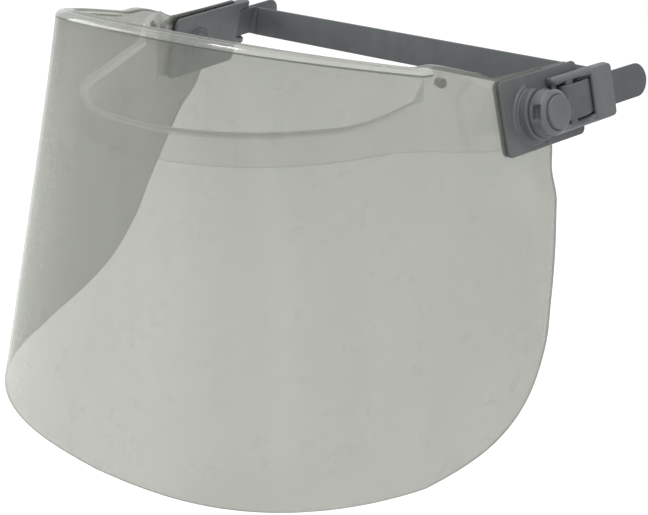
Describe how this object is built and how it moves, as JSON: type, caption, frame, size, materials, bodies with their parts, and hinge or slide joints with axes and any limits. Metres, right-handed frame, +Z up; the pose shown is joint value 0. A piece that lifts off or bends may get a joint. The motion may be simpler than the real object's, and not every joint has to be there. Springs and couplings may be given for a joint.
{
  "type": "face shield",
  "caption": "Helmet-mounted face shield: clear curved visor with inner brow guard, pivoting between side brackets with clamp knobs, held by a flat rubber strap.",
  "frame": {"origin": "midway between the two pivot balls, on the axis that the visor swings about", "axes": "+X towards the wearer's left, -Y forward out of the visor, +Z up"},
  "size_m": [0.2778, 0.2536, 0.1968],
  "materials": {
    "rubber": "matte",
    "grey_plastic": "matte",
    "grey_plastic_dark": "matte",
    "knob_plastic": "satin",
    "clear_sheet": "gloss",
    "clear_guard": "gloss",
    "steel": "satin",
    "brass": "satin"
  },
  "bodies": {
    "strap_and_buckles": {"strap": "rubber", "left_buckle": "grey_plastic", "right_buckle": "grey_plastic"},
    "visor_assembly": {"visor": "clear_sheet", "brow_guard": "clear_guard", "guard_rivets": "grey_plastic_dark", "locating_pins": "steel", "left_outer_plate": "grey_plastic", "right_outer_plate": "grey_plastic", "left_inner_plate": "grey_plastic", "right_inner_plate": "grey_plastic", "left_pivot_bolt": "steel", "right_pivot_bolt": "steel"},
    "left_knob_group": {"left_knob": "knob_plastic", "left_knob_cap": "knob_plastic", "left_knob_insert": "brass", "left_spring_washer": "steel"},
    "right_knob_group": {"right_knob": "knob_plastic", "right_knob_cap": "knob_plastic", "right_knob_insert": "brass", "right_spring_washer": "steel"}
  },
  "joints": [
    {"name": "visor_lift", "type": "hinge", "parent": "strap_and_buckles", "child": "visor_assembly", "pos_m": [0, 0, 0], "axis": [-1, 0, 0], "range_deg": [0, 75]},
    {"name": "left_knob_turn", "type": "hinge", "parent": "visor_assembly", "child": "left_knob_group", "pos_m": [0.113, 0, 0], "axis": [0.966, -0.0941, 0.2408], "range_deg": [0, 360]},
    {"name": "right_knob_turn", "type": "hinge", "parent": "visor_assembly", "child": "right_knob_group", "pos_m": [-0.113, 0, 0], "axis": [-0.966, -0.0941, 0.2408], "range_deg": [0, 360]}
  ]
}
